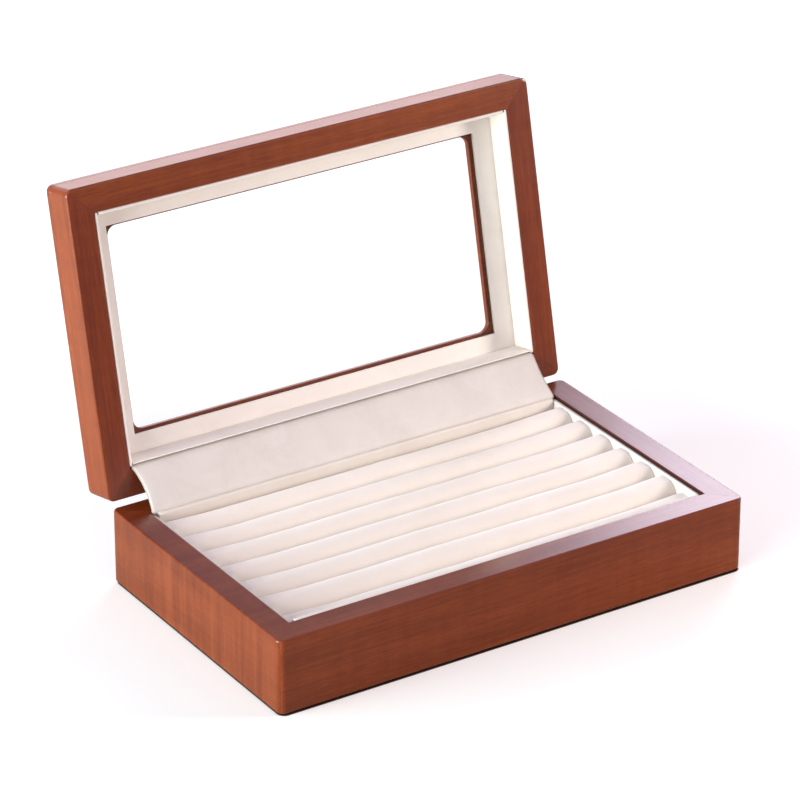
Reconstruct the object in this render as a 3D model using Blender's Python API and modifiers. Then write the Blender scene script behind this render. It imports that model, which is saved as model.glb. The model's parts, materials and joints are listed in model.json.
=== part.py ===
"""A glass-topped wooden box for cufflinks and rings, open on its hinge stop.

Units are metres and +Z is up. +X runs along the hinge and +Y points to the back.
The origin is at the centre of the underside. Every piece of the lid is placed as if
the lid were shut, under an empty on the hinge axis, and that empty turns the lid open.
"""

import math

import bmesh
import bpy
from mathutils import Matrix, Vector

# Carcass
BOX_WIDTH = 0.265
BOX_DEPTH = 0.1565
BASE_HEIGHT = 0.0399
LID_HEIGHT = 0.0208
WALL = 0.0139
CORNER_RADIUS = 0.0035
EDGE_RADIUS = 0.001
INNER_EDGE_RADIUS = 0.0004
MITRE_GAP = 0.00006
GLUE_GAP = 0.0001
FIT_GAP = 0.0003
HAIR = 0.0001
FELT_THICKNESS = 0.0008
FELT_INSET = 0.0025
BOTTOM_THICKNESS = 0.004
REBATE_WIDTH = 0.005

# Window in the lid
PANEL_THICKNESS = 0.0044
WINDOW_WIDTH = 0.2088
WINDOW_DEPTH = 0.103
WINDOW_CORNER_RADIUS = 0.005
GLASS_THICKNESS = 0.0015
GLASS_LAP = 0.003
MAT_THICKNESS = 0.0013
MAT_WINDOW_WIDTH = 0.212
MAT_WINDOW_DEPTH = 0.1055

# Linings and ring rolls
BASE_LINER = 0.0024
LID_LINER = 0.0016
SIDE_LINER_DROP = 0.0012
LINER_EDGE_RADIUS = 0.0007
BOARD_THICKNESS = 0.0012
ROLL_COUNT = 6
ROLL_PITCH = 0.0178
ROLL_TOP_DROP = 0.0025
FRONT_ROLL_TOP_DROP = 0.0049
ROLL_CROWN_SHARE = 0.98
ROLL_END_GAP = 0.0006
ROLL_END_RADIUS = 0.0030

# Hinge line
RIM_GAP = 0.0005
PIN_BEHIND_BACK = 0.0015
OPEN_ANGLE = math.radians(102.4)
HINGE_SPACING = 0.15
LEAF_WIDTH = 0.030
LEAF_DEPTH = 0.008
LEAF_THICKNESS = 0.0009
KNUCKLE_RADIUS = 0.002
MIDDLE_KNUCKLE = 0.0100
PIN_RADIUS = 0.0008
PIN_CLEARANCE = 0.00008
PIN_HEAD_RADIUS = 0.0013
PIN_HEAD_LENGTH = 0.0007
PIN_HEAD_FACE_RADIUS = 0.0009
PIN_HEAD_DOME = 0.00035
SCREW_SPACING = 0.018
SCREW_FROM_BACK = 0.0045
SCREW_HEAD_RADIUS = 0.0018
SCREW_SHANK_RADIUS = 0.00085
SCREW_LENGTH = 0.0075
SCREW_POINT_LENGTH = 0.0015
SCREW_SLOT_WIDTH = 0.00043
SCREW_SLOT_DEPTH = 0.00036
STOP_RADIUS = 0.0035
STOP_ROOT_RADIUS = 0.0015
STOP_THICKNESS = 0.0011
STOP_SEAT_ANGLE = math.radians(-70)

# Hinge flap
FLAP_THICKNESS = 0.0007
FLAP_TUCK = 0.008
FLAP_STRAIGHT_PAST_RIM = 0.00042
FLAP_SIDE_GAP = 0.0008
FLAP_RELIEF_WIDTH = 0.0055
FLAP_RELIEF_DEPTH = 0.001
# (y, z) of the open flap's free part, from the hinge pin
FLAP_CREST = [
    (-0.0130, 0.0014),
    (-0.0107, 0.0035),
    (-0.0078, 0.0073),
    (-0.0046, 0.0107),
    (-0.0007, 0.0134),
]

HALF_WIDTH = BOX_WIDTH / 2
HALF_DEPTH = BOX_DEPTH / 2
INNER_X = HALF_WIDTH - WALL
INNER_Y = HALF_DEPTH - WALL
WALL_BOTTOM = FELT_THICKNESS + GLUE_GAP
BOTTOM_TOP = WALL_BOTTOM + BOTTOM_THICKNESS
LID_RIM = BASE_HEIGHT + RIM_GAP
PANEL_BOTTOM = LID_RIM + LID_HEIGHT - PANEL_THICKNESS
LID_TOP = LID_RIM + LID_HEIGHT
MAT_TOP = PANEL_BOTTOM - GLUE_GAP / 2
FLAP_SLOT = FLAP_THICKNESS + 2 * GLUE_GAP
PIN = Vector((0, HALF_DEPTH + PIN_BEHIND_BACK, LID_RIM))

CHERRY = ((0.30, 0.075, 0.035), 0.22, 0.0)
CHERRY_END = ((0.36, 0.11, 0.055), 0.25, 0.0)
GLASS = ((0.93, 0.96, 0.95), 0.03, 0.0)
SUEDE = ((0.84, 0.78, 0.71), 0.9, 0.0)
FLAP_SUEDE = ((0.76, 0.69, 0.63), 0.92, 0.0)
FELT = ((0.03, 0.03, 0.035), 0.95, 0.0)
BOARD = ((0.45, 0.38, 0.28), 0.8, 0.0)
BRASS = ((0.78, 0.57, 0.25), 0.3, 1.0)
STEEL = ((0.62, 0.62, 0.60), 0.35, 1.0)


def clear_scene():
    for obj in list(bpy.data.objects):
        bpy.data.objects.remove(obj, do_unlink=True)


def new_collection(name):
    collection = bpy.data.collections.new(name)
    bpy.context.scene.collection.children.link(collection)
    return collection


def give_material(obj, look):
    """Gives an object its own Principled material, from (colour, roughness, metallic)."""
    colour, roughness, metallic = look
    material = bpy.data.materials.new(obj.name)
    material.use_nodes = True
    shader = material.node_tree.nodes["Principled BSDF"]
    shader.inputs["Base Color"].default_value = (*colour, 1)
    shader.inputs["Roughness"].default_value = roughness
    shader.inputs["Metallic"].default_value = metallic
    obj.data.materials.clear()
    obj.data.materials.append(material)


def add_object(name, mesh, look, parent=None):
    obj = bpy.data.objects.new(name, mesh)
    PARTS.objects.link(obj)
    give_material(obj, look)
    if parent:
        obj.parent = parent
        obj.location = -parent.location
    return obj


def add_cutter(name, mesh, parent=None):
    """A hidden helper for Booleans, in the same frame as the piece that it shapes."""
    obj = bpy.data.objects.new(name, mesh)
    CUTTERS.objects.link(obj)
    obj.hide_render = True
    obj.display_type = "WIRE"
    if parent:
        obj.parent = parent
        obj.location = -parent.location
    return obj


def mesh_from(bm, name):
    bmesh.ops.recalc_face_normals(bm, faces=bm.faces)
    mesh = bpy.data.meshes.new(name)
    bm.to_mesh(mesh)
    bm.free()
    return mesh


def level_edges(bm, heights):
    """The edges that lie flat at one of these heights."""
    near = EDGE_RADIUS / 100
    return [
        edge
        for edge in bm.edges
        if any(all(abs(vert.co.z - height) < near for vert in edge.verts) for height in heights)
    ]


def upright_edges(bm):
    """The edges that run straight up."""
    near = EDGE_RADIUS / 100
    return [edge for edge in bm.edges if (edge.verts[0].co - edge.verts[1].co).xy.length < near]


def round_over(bm, edges, radius, segments):
    bmesh.ops.bevel(bm, geom=edges, offset=radius, segments=segments, profile=0.5, affect="EDGES")


def box_bmesh(low, high):
    low, high = Vector(low), Vector(high)
    bm = bmesh.new()
    place = Matrix.Translation((low + high) / 2) @ Matrix.Diagonal((*(high - low), 1))
    bmesh.ops.create_cube(bm, size=1, matrix=place)
    return bm


def box_mesh(name, low, high, edge_radius=0.0):
    bm = box_bmesh(low, high)
    if edge_radius:
        round_over(bm, bm.edges[:], edge_radius, 2)
    return mesh_from(bm, name)


def slab_mesh(name, half_x, half_y, z_low, z_high, corner_radius, rounded_heights=(), edge_radius=0.0):
    """A block with round upright corners, and with round edges at the heights given."""
    bm = box_bmesh((-half_x, -half_y, z_low), (half_x, half_y, z_high))
    round_over(bm, upright_edges(bm), corner_radius, 6)
    if rounded_heights:
        round_over(bm, level_edges(bm, rounded_heights), edge_radius, 3)
    return mesh_from(bm, name)


def rod_mesh(name, start, end, radius, sides, end_radius=None):
    """A rod, or a cone where end_radius is given, from start to end."""
    start, end = Vector(start), Vector(end)
    bm = bmesh.new()
    turn = Vector((0, 0, 1)).rotation_difference(end - start).to_matrix().to_4x4()
    bmesh.ops.create_cone(
        bm,
        cap_ends=True,
        segments=sides,
        radius1=radius,
        radius2=radius if end_radius is None else end_radius,
        depth=(end - start).length,
        matrix=Matrix.Translation((start + end) / 2) @ turn,
    )
    return mesh_from(bm, name)


def combine(obj, other, operation="DIFFERENCE"):
    boolean = obj.modifiers.new(other.name, "BOOLEAN")
    boolean.operation = operation
    boolean.solver = "EXACT"
    boolean.object = other


def evaluated_mesh(obj):
    """The object's mesh with its modifiers applied."""
    bpy.context.view_layer.update()
    graph = bpy.context.evaluated_depsgraph_get()
    return bpy.data.meshes.new_from_object(obj.evaluated_get(graph))


def ease_inner_rim(mesh, rim):
    """Rounds the edge that the rim makes with the inside of the walls."""
    bm = bmesh.new()
    bm.from_mesh(mesh)
    x, y = INNER_X + HAIR, INNER_Y + HAIR
    inner = [
        edge
        for edge in level_edges(bm, (rim,))
        if all(abs(vert.co.x) < x and abs(vert.co.y) < y for vert in edge.verts)
    ]
    round_over(bm, inner, INNER_EDGE_RADIUS, 2)
    return mesh_from(bm, mesh.name)


def carcass_ring(name, z_low, z_high, rim, rounded_heights, rebate_height=0.0):
    """All four walls in one ring, before the mitres part them, with a rebate for the bottom panel."""
    x, y = HALF_WIDTH, HALF_DEPTH
    outer = slab_mesh(name, x, y, z_low, z_high, CORNER_RADIUS, rounded_heights, EDGE_RADIUS)
    ring = add_cutter(name, outer)
    bottom, top = z_low - WALL, z_high + WALL
    room = box_mesh(name + "_room", (-INNER_X, -INNER_Y, bottom), (INNER_X, INNER_Y, top))
    combine(ring, add_cutter(name + "_room", room))
    if rebate_height:
        x, y = INNER_X + REBATE_WIDTH, INNER_Y + REBATE_WIDTH
        rebate = box_mesh(name + "_rebate", (-x, -y, bottom), (x, y, z_low + rebate_height))
        combine(ring, add_cutter(name + "_rebate", rebate))
    return ease_inner_rim(evaluated_mesh(ring), rim)


def mitred_wall_mesh(name, ring, outward):
    """The part of the ring on one side of the box, cut at 45 degrees at both corners."""
    bm = bmesh.new()
    bm.from_mesh(ring)
    outward = Vector((*outward, 0))
    along = Vector((-outward.y, outward.x, 0))
    face_centre = Vector((outward.x * HALF_WIDTH, outward.y * HALF_DEPTH, 0))
    half_length = abs(along.x) * HALF_WIDTH + abs(along.y) * HALF_DEPTH
    for side in (1, -1):
        normal = (along * side - outward).normalized()
        corner = face_centre + along * side * half_length
        bmesh.ops.bisect_plane(
            bm,
            geom=bm.verts[:] + bm.edges[:] + bm.faces[:],
            plane_co=corner - normal * MITRE_GAP / 2,
            plane_no=normal,
            clear_outer=True,
        )
        bmesh.ops.holes_fill(bm, edges=[edge for edge in bm.edges if edge.is_boundary])
    return mesh_from(bm, name)


def add_walls(prefix, ring, parent=None):
    sides = {"front": (0, -1), "back": (0, 1), "left": (-1, 0), "right": (1, 0)}
    walls = {}
    for side, outward in sides.items():
        name = f"{prefix}_{side}_wall"
        walls[side] = add_object(name, mitred_wall_mesh(name, ring, outward), CHERRY, parent)
    return walls


def relieve_back_wall(wall, rim, up, parent):
    """Cuts the flap's shallow relief along a back wall's inner edge, and the mortises of both hinges.

    up is 1 where the wall is above its rim, and -1 where it is below.
    """
    low = (-INNER_X + FLAP_RELIEF_WIDTH / 2, INNER_Y - WALL, rim - FLAP_RELIEF_DEPTH)
    high = (INNER_X - FLAP_RELIEF_WIDTH / 2, INNER_Y + FLAP_RELIEF_WIDTH, rim + FLAP_RELIEF_DEPTH)
    name = wall.name + "_flap_relief"
    combine(wall, add_cutter(name, box_mesh(name, low, high), parent))
    for index, x in enumerate(hinge_places()):
        mortise_hinge(wall, f"{wall.name}_{index}", x, rim, up, parent)


def mortise_hinge(wall, name, x, rim, up, parent):
    """Lets one hinge leaf, its knuckles and its screws into a back wall."""
    half = LEAF_WIDTH / 2 + FIT_GAP
    leaf_depth = LEAF_THICKNESS + GLUE_GAP
    leaf_low = (x - half, HALF_DEPTH - LEAF_DEPTH - FIT_GAP, rim - leaf_depth)
    leaf_high = (x + half, HALF_DEPTH + WALL, rim + leaf_depth)
    combine(wall, add_cutter(name + "_mortise", box_mesh(name, leaf_low, leaf_high), parent))
    reach = KNUCKLE_RADIUS + FIT_GAP
    knuckle_low = (x - half, PIN.y - reach, PIN.z - reach)
    knuckle_high = (x + half, HALF_DEPTH + WALL, PIN.z + reach)
    combine(wall, add_cutter(name + "_knuckles", box_mesh(name, knuckle_low, knuckle_high), parent))
    for end in (-1, 1):
        start = Vector((x + end * SCREW_SPACING / 2, HALF_DEPTH - SCREW_FROM_BACK, rim))
        tip = start + Vector((0, 0, up * (SCREW_LENGTH + FIT_GAP)))
        radius = SCREW_SHANK_RADIUS + FIT_GAP / 2
        hole = rod_mesh(f"{name}_screw_hole_{end}", start, tip, radius, 16)
        combine(wall, add_cutter(f"{name}_screw_hole_{end}", hole, parent))


def add_base_carcass():
    rebate_height = BOTTOM_THICKNESS + GLUE_GAP
    low, rim = WALL_BOTTOM, BASE_HEIGHT
    ring = carcass_ring("base_ring", low, rim, rim, (low, rim), rebate_height)
    walls = add_walls("base", ring)
    relieve_back_wall(walls["back"], BASE_HEIGHT, -1, None)
    x, y = INNER_X + REBATE_WIDTH - GLUE_GAP, INNER_Y + REBATE_WIDTH - GLUE_GAP
    bottom = box_mesh("base_bottom_panel", (-x, -y, WALL_BOTTOM), (x, y, BOTTOM_TOP))
    add_object("base_bottom_panel", bottom, CHERRY_END)
    x, y = HALF_WIDTH - FELT_INSET, HALF_DEPTH - FELT_INSET
    add_object("base_felt_pad", slab_mesh("base_felt_pad", x, y, 0, FELT_THICKNESS, CORNER_RADIUS), FELT)


def add_lid_carcass(parent):
    ring = carcass_ring("lid_ring", LID_RIM, PANEL_BOTTOM - MITRE_GAP, LID_RIM, (LID_RIM,))
    walls = add_walls("lid", ring, parent)
    relieve_back_wall(walls["back"], LID_RIM, 1, parent)
    x, y = HALF_WIDTH, HALF_DEPTH
    panel = slab_mesh("lid_window_frame", x, y, PANEL_BOTTOM, LID_TOP, CORNER_RADIUS, (LID_TOP,), EDGE_RADIUS)
    frame = add_object("lid_window_frame", panel, CHERRY, parent)
    x, y = WINDOW_WIDTH / 2, WINDOW_DEPTH / 2
    window = slab_mesh("window", x, y, PANEL_BOTTOM - WALL, LID_TOP + WALL, WINDOW_CORNER_RADIUS)
    combine(frame, add_cutter("window", window, parent))
    x, y = x + GLASS_LAP + FIT_GAP, y + GLASS_LAP + FIT_GAP
    rebate_top = PANEL_BOTTOM + GLASS_THICKNESS + GLUE_GAP
    rebate = box_mesh("glass_rebate", (-x, -y, PANEL_BOTTOM - WALL), (x, y, rebate_top))
    combine(frame, add_cutter("glass_rebate", rebate, parent))


def add_glass_and_mat(parent):
    x, y = WINDOW_WIDTH / 2 + GLASS_LAP, WINDOW_DEPTH / 2 + GLASS_LAP
    pane = box_mesh("glass_pane", (-x, -y, PANEL_BOTTOM), (x, y, PANEL_BOTTOM + GLASS_THICKNESS), GLUE_GAP)
    add_object("glass_pane", pane, GLASS, parent)
    x, y = INNER_X - GLUE_GAP, INNER_Y - GLUE_GAP
    board = box_mesh("lid_mat_frame", (-x, -y, MAT_TOP - MAT_THICKNESS), (x, y, MAT_TOP))
    mat = add_object("lid_mat_frame", board, SUEDE, parent)
    x, y = MAT_WINDOW_WIDTH / 2, MAT_WINDOW_DEPTH / 2
    opening = box_mesh("mat_window", (-x, -y, PANEL_BOTTOM - WALL), (x, y, LID_TOP + WALL))
    combine(mat, add_cutter("mat_window", opening, parent))


def add_liners(prefix, thickness, z_low, tops, parent=None):
    """Covered boards inside the walls. The side boards run full length, and the others butt them."""
    outer_x, outer_y = INNER_X - GLUE_GAP, INNER_Y - GLUE_GAP
    between = outer_x - thickness - GLUE_GAP
    back_y = outer_y - FLAP_SLOT
    boards = {
        "left": ((-outer_x, -outer_y), (-outer_x + thickness, back_y)),
        "right": ((outer_x - thickness, -outer_y), (outer_x, back_y)),
        "front": ((-between, -outer_y), (between, -outer_y + thickness)),
        "back": ((-between, back_y - thickness), (between, back_y)),
    }
    for side, (low, high) in boards.items():
        name = f"{prefix}_liner_{side}"
        mesh = box_mesh(name, (*low, z_low), (*high, tops[side]), LINER_EDGE_RADIUS)
        add_object(name, mesh, SUEDE, parent)


def add_base_linings():
    rim = BASE_HEIGHT - GLUE_GAP
    tops = {"front": rim, "back": rim, "left": rim - SIDE_LINER_DROP, "right": rim - SIDE_LINER_DROP}
    add_liners("base", BASE_LINER, BOTTOM_TOP + GLUE_GAP, tops)
    x, front, back = roll_room()
    board_low = (-x, front, BOTTOM_TOP + GLUE_GAP)
    board = box_mesh("tray_board", board_low, (x, back, BOTTOM_TOP + GLUE_GAP + BOARD_THICKNESS))
    add_object("tray_board", board, BOARD)


def add_lid_linings(parent):
    top = MAT_TOP - MAT_THICKNESS - GLUE_GAP
    tops = {side: top for side in ("front", "back", "left", "right")}
    add_liners("lid", LID_LINER, LID_RIM + GLUE_GAP, tops, parent)


def roll_room():
    """(half length, front, back) of the space inside the base's liners."""
    half_length = INNER_X - BASE_LINER - 2 * GLUE_GAP - FIT_GAP
    front = -INNER_Y + BASE_LINER + GLUE_GAP + FIT_GAP
    back = INNER_Y - BASE_LINER - GLUE_GAP - FLAP_SLOT - FIT_GAP
    return half_length, front, back


def roll_mesh(width, height):
    """A strip with a round top and eased ends, standing on z = 0."""
    half_length = roll_room()[0] - ROLL_END_GAP
    half_width = (width - FIT_GAP) / 2
    near = EDGE_RADIUS / 100
    bm = box_bmesh((-half_length, -half_width, 0), (half_length, half_width, height))
    crown = [edge for edge in level_edges(bm, (height,)) if edge.verts[0].co.y == edge.verts[1].co.y]
    round_over(bm, crown, half_width * ROLL_CROWN_SHARE, 7)
    across = [edge for edge in bm.edges if abs(edge.verts[0].co.x - edge.verts[1].co.x) < near]
    end_rims = [edge for edge in across if max(vert.co.z for vert in edge.verts) > near]
    round_over(bm, end_rims, ROLL_END_RADIUS, 3)
    return mesh_from(bm, "ring_roll")


def add_ring_rolls():
    """Foam strips with round tops, side by side. The front one, 1, is narrower and lower than the rest."""
    _, front, back = roll_room()
    bottom = BOTTOM_TOP + 2 * GLUE_GAP + BOARD_THICKNESS
    height = BASE_HEIGHT - ROLL_TOP_DROP - bottom
    front_edge = back - ROLL_PITCH * ROLL_COUNT
    places = [(front, front_edge, BASE_HEIGHT - FRONT_ROLL_TOP_DROP - bottom)]
    for index in range(ROLL_COUNT):
        places.append((front_edge + ROLL_PITCH * index, front_edge + ROLL_PITCH * (index + 1), height))
    for number, (start, end, top) in enumerate(places, start=1):
        roll = add_object(f"ring_roll_{number}", roll_mesh(end - start, top), SUEDE)
        roll.location = (0, (start + end) / 2, bottom)


def hinge_places():
    return (-HINGE_SPACING / 2, HINGE_SPACING / 2)


def knuckle_spans(member):
    """The stretches of the barrel that belong to a leaf: the outer two to the base, the middle one to the lid."""
    half, middle = LEAF_WIDTH / 2, MIDDLE_KNUCKLE / 2
    if member == "lid":
        return [(-middle, middle)]
    return [(-half, -middle - FIT_GAP), (middle + FIT_GAP, half)]


def stop_block(name, span, inner_radius, outer_radius, thickness, angle):
    """A block standing out from the barrel at an angle above +Y."""
    low, high = (span[0], inner_radius, -thickness / 2), (span[1], outer_radius, thickness / 2)
    mesh = box_mesh(name, low, high)
    mesh.transform(Matrix.Translation((0, PIN.y, PIN.z)) @ Matrix.Rotation(angle, 4, "X"))
    return mesh


def heel_angle():
    """Where the lid's heel stands when shut, so that it meets the base's seat when the lid is open."""
    middle = (KNUCKLE_RADIUS + FIT_GAP + STOP_RADIUS) / 2
    return STOP_SEAT_ANGLE + (STOP_THICKNESS + FIT_GAP) / middle + OPEN_ANGLE


def stop_meshes(member):
    """The base's seat, on a web at each end knuckle, or the lid's heel on the middle one."""
    spans = [(start + HAIR, end - HAIR) for start, end in knuckle_spans(member)]
    if member == "lid":
        return [stop_block("heel", spans[0], STOP_ROOT_RADIUS, STOP_RADIUS, STOP_THICKNESS, heel_angle())]
    web = (STOP_ROOT_RADIUS, STOP_RADIUS - FIT_GAP, STOP_THICKNESS - 2 * HAIR, STOP_SEAT_ANGLE)
    meshes = [stop_block("seat_web", span, *web) for span in spans]
    seat_span = (spans[0][0] + HAIR, spans[1][1] - HAIR)
    seat_root = KNUCKLE_RADIUS + FIT_GAP
    return meshes + [stop_block("seat", seat_span, seat_root, STOP_RADIUS, STOP_THICKNESS, STOP_SEAT_ANGLE)]


def leaf_notches(member, plate_back):
    """The room in a leaf for the other leaf's knuckles."""
    half, middle = LEAF_WIDTH / 2, MIDDLE_KNUCKLE / 2
    if member == "base":
        spans = [(-middle - FIT_GAP - HAIR, middle + FIT_GAP + HAIR)]
    else:
        spans = [(-half - WALL, -middle + HAIR), (middle - HAIR, half + WALL)]
    low_z, high_z = PIN.z - WALL, PIN.z + WALL
    return [box_mesh("notch", (a, plate_back, low_z), (b, PIN.y + WALL, high_z)) for a, b in spans]


def leaf_holes(rim, up):
    """The bore for the pin, and a countersunk hole at each screw."""
    half = LEAF_WIDTH / 2 + WALL
    bore = rod_mesh("bore", (-half, PIN.y, PIN.z), (half, PIN.y, PIN.z), PIN_RADIUS + PIN_CLEARANCE, 16)
    holes = [bore]
    for end in (-1, 1):
        face = Vector((end * SCREW_SPACING / 2, HALF_DEPTH - SCREW_FROM_BACK, rim))
        back = face + Vector((0, 0, up * (LEAF_THICKNESS + GLUE_GAP)))
        mouth, throat = SCREW_HEAD_RADIUS + FIT_GAP / 2, SCREW_SHANK_RADIUS + FIT_GAP / 2
        holes.append(rod_mesh("countersink", face, back, mouth, 16, throat))
    return holes


def add_hinge_leaf(name, member, x, parent):
    """A leaf with its knuckles and its stop, made about x = 0 and shifted along the hinge."""
    up = 1 if member == "lid" else -1
    rim = LID_RIM if member == "lid" else BASE_HEIGHT
    plate_low, plate_high = sorted((rim + up * GLUE_GAP / 2, rim + up * (LEAF_THICKNESS + GLUE_GAP / 2)))
    plate_back = PIN.y - KNUCKLE_RADIUS - FIT_GAP
    half = LEAF_WIDTH / 2 - HAIR
    plate = box_mesh(name, (-half, HALF_DEPTH - LEAF_DEPTH, plate_low), (half, PIN.y, plate_high))
    leaf = add_object(name, plate, BRASS, parent)
    knuckles = [
        rod_mesh("knuckle", (start, PIN.y, PIN.z), (end, PIN.y, PIN.z), KNUCKLE_RADIUS, 24)
        for start, end in knuckle_spans(member)
    ]
    steps = [("DIFFERENCE", mesh) for mesh in leaf_notches(member, plate_back)]
    steps += [("UNION", mesh) for mesh in knuckles + stop_meshes(member)]
    steps += [("DIFFERENCE", mesh) for mesh in leaf_holes(rim, up)]
    for index, (operation, mesh) in enumerate(steps):
        helper = add_cutter(f"{name}_step_{index}", mesh, parent)
        helper.location.x += x
        combine(leaf, helper, operation)
    leaf.location.x += x


def turned(obj, outline, steps):
    """Turns an outline of (radius, height) points, top to bottom, about the object's Z axis."""
    bm = bmesh.new()
    points = [bm.verts.new((radius, 0, height)) for radius, height in outline]
    for above, below in zip(points, points[1:]):
        bm.edges.new((above, below))
    bm.to_mesh(obj.data)
    bm.free()
    screw = obj.modifiers.new("turn", "SCREW")
    screw.steps = steps
    screw.render_steps = steps
    screw.use_merge_vertices = True
    screw.merge_threshold = 0.00001
    screw.use_normal_calculate = True


def add_hinge_pin(name, x):
    """A plain pin with a domed head at each end, lying in the barrel."""
    half = LEAF_WIDTH / 2 + FIT_GAP
    end = half + PIN_HEAD_LENGTH
    dome = [(PIN_HEAD_FACE_RADIUS, end), (PIN_HEAD_RADIUS, end - PIN_HEAD_DOME)]
    upper = [(0, end), *dome, (PIN_HEAD_RADIUS, half), (PIN_RADIUS, half)]
    outline = upper + [(radius, -height) for radius, height in reversed(upper)]
    pin = add_object(name, bpy.data.meshes.new(name), STEEL)
    turned(pin, outline, 16)
    pin.location = (x, PIN.y, PIN.z)
    pin.rotation_euler.y = math.pi / 2


def add_screw(name, place, up, parent=None):
    """A slotted countersunk wood screw.

    place is the middle of its head's face, and up 1 points its tip upwards.
    """
    neck = -LEAF_THICKNESS
    outline = [
        (0, 0),
        (SCREW_HEAD_RADIUS, 0),
        (SCREW_SHANK_RADIUS, neck),
        (SCREW_SHANK_RADIUS, SCREW_POINT_LENGTH - SCREW_LENGTH),
        (0, -SCREW_LENGTH),
    ]
    screw = add_object(name, bpy.data.meshes.new(name), STEEL, parent)
    turned(screw, outline, 16)
    reach, half, depth = SCREW_HEAD_RADIUS + HAIR, SCREW_SLOT_WIDTH / 2, SCREW_SLOT_DEPTH
    slot = box_mesh(name + "_slot", (-reach, -half, -depth), (reach, half, depth))
    cutter = add_cutter(name + "_slot", slot, parent)
    combine(screw, cutter)
    for piece in (screw, cutter):
        piece.location = Vector(place) + (piece.location if parent else Vector())
        if up > 0:
            piece.rotation_euler.x = math.pi


def add_hinges(pivot):
    for hand, x in zip(("left", "right"), hinge_places()):
        add_hinge_leaf(f"hinge_leaf_base_{hand}", "base", x, None)
        add_hinge_leaf(f"hinge_leaf_lid_{hand}", "lid", x, pivot)
        add_hinge_pin(f"hinge_pin_{hand}", x)
        for number, end in enumerate((-1, 1), start=1):
            screw_x = x + end * SCREW_SPACING / 2
            y = HALF_DEPTH - SCREW_FROM_BACK
            base_face = (screw_x, y, BASE_HEIGHT - GLUE_GAP)
            lid_face = (screw_x, y, LID_RIM + GLUE_GAP)
            add_screw(f"hinge_screw_base_{hand}_{number}", base_face, -1)
            add_screw(f"hinge_screw_lid_{hand}_{number}", lid_face, 1, pivot)


def flap_route():
    """(y, z) points of the open flap: behind the base's liner, over both rims, and behind the lid's liner."""
    tuck_y = INNER_Y - FLAP_SLOT / 2 - GLUE_GAP / 2
    base_end = [(tuck_y, BASE_HEIGHT - FLAP_TUCK), (tuck_y, BASE_HEIGHT + FLAP_STRAIGHT_PAST_RIM)]
    lid_end = []
    for depth in (-FLAP_STRAIGHT_PAST_RIM, FLAP_TUCK):
        shut = Vector((0, tuck_y, LID_RIM + depth)) - PIN
        opened = Matrix.Rotation(-OPEN_ANGLE, 3, "X") @ shut + PIN
        lid_end.append((opened.y, opened.z))
    crest = [(PIN.y + y, PIN.z + z) for y, z in FLAP_CREST]
    return base_end + crest + lid_end


def add_hinge_flap():
    """The soft strip that hides the hinges, as a sheet of even thickness on both sides of its route."""
    half = INNER_X - FLAP_SIDE_GAP
    bm = bmesh.new()
    points = [bm.verts.new((-half, y, z)) for y, z in flap_route()]
    edges = [bm.edges.new(pair) for pair in zip(points, points[1:])]
    grown = bmesh.ops.extrude_edge_only(bm, edges=edges)["geom"]
    moved = [item for item in grown if isinstance(item, bmesh.types.BMVert)]
    bmesh.ops.translate(bm, vec=(2 * half, 0, 0), verts=moved)
    flap = add_object("hinge_flap", mesh_from(bm, "hinge_flap"), FLAP_SUEDE)
    sheet = flap.modifiers.new("thickness", "SOLIDIFY")
    sheet.thickness = FLAP_THICKNESS
    sheet.offset = 0
    sheet.use_even_offset = True


def add_lid_pivot():
    pivot = bpy.data.objects.new("lid_hinge_axis", None)
    PARTS.objects.link(pivot)
    pivot.location = PIN
    return pivot


clear_scene()
PARTS = new_collection("cufflink_box")
CUTTERS = new_collection("cutters")
lid_pivot = add_lid_pivot()
add_base_carcass()
add_base_linings()
add_ring_rolls()
add_lid_carcass(lid_pivot)
add_glass_and_mat(lid_pivot)
add_lid_linings(lid_pivot)
add_hinges(lid_pivot)
add_hinge_flap()
lid_pivot.rotation_euler.x = -OPEN_ANGLE
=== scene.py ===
"""Looks for the glass-topped cufflink and ring box: lacquered cherry, cream suede, glass and brass.

Units are metres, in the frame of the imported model. The lid stands open at rest, and the joint
lid_hinge shuts it. Pieces of the lid are built as if it were shut, then turned open about the hinge.
"""

import json
import math

import bmesh
import bpy
import numpy as np
from mathutils import Matrix, Vector, noise


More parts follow.
